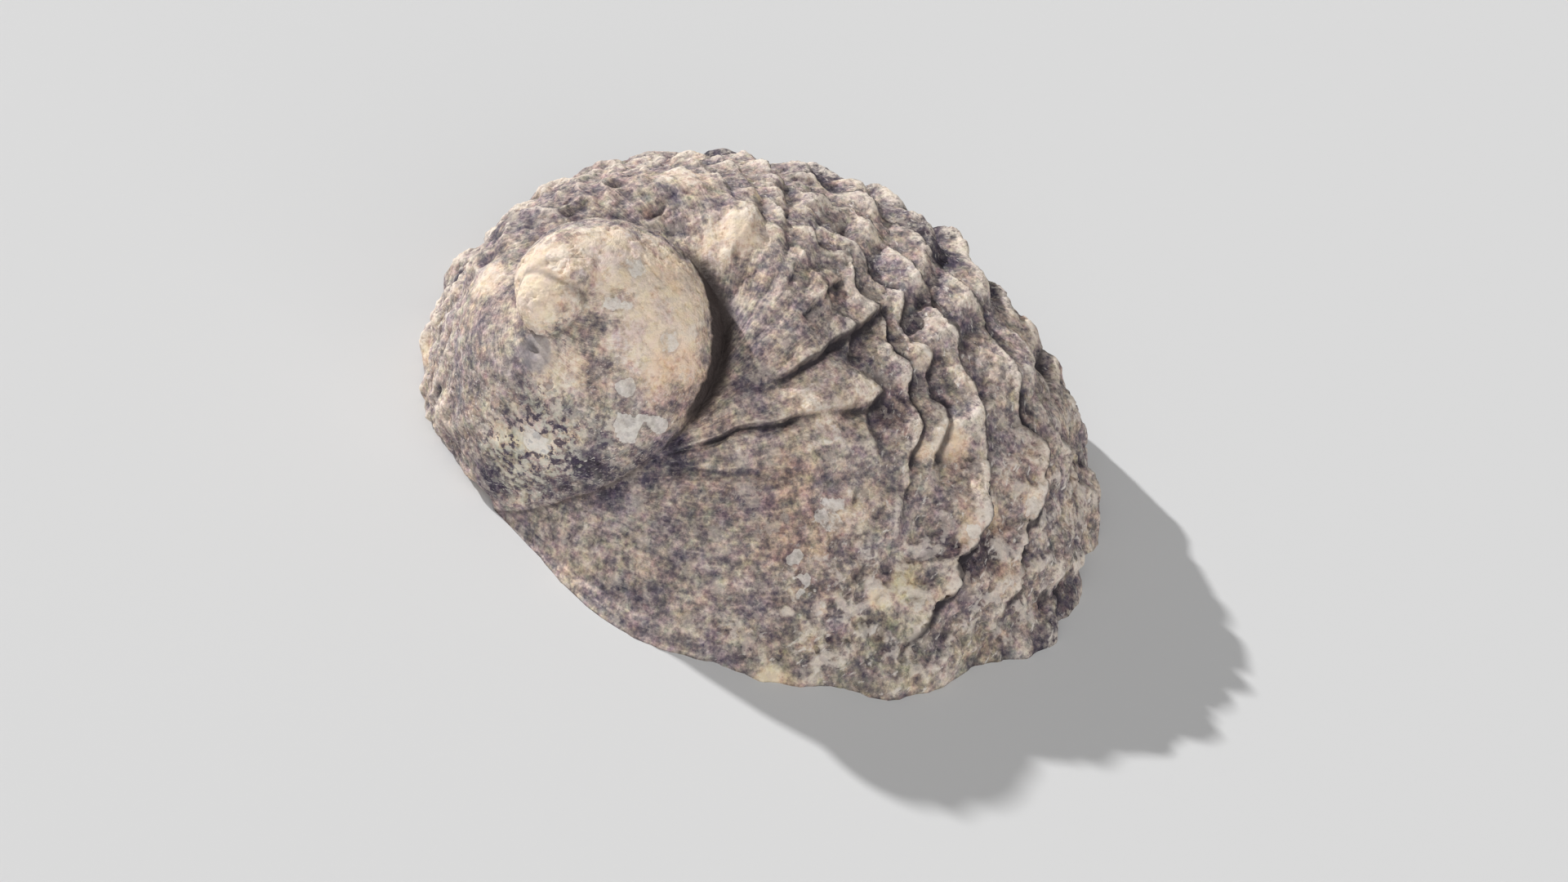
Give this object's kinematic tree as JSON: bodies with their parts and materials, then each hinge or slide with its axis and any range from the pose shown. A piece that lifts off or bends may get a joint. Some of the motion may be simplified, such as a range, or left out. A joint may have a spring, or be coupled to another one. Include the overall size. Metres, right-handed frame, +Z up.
{
  "type": "fossil abalone shell",
  "caption": "Fossil abalone shell lying aperture down, with a low spire at one end, wavy spiral ribs, folds and a toothed ridge, in mottled cream, brown and slate stone.",
  "frame": {"origin": "centre of the shell's bounding box at the height of its resting rim", "axes": "+Z up from the resting rim to the spire; +X along the longest extent, towards the growing front end; +Y towards the row of teeth, away from the long outer lip"},
  "size_m": [0.1284, 0.1062, 0.0459],
  "materials": {
    "fossil_shell": "matte, mottled cream, brown and slate purple"
  },
  "bodies": {
    "root": {"shell": "fossil_shell"}
  },
  "joints": []
}
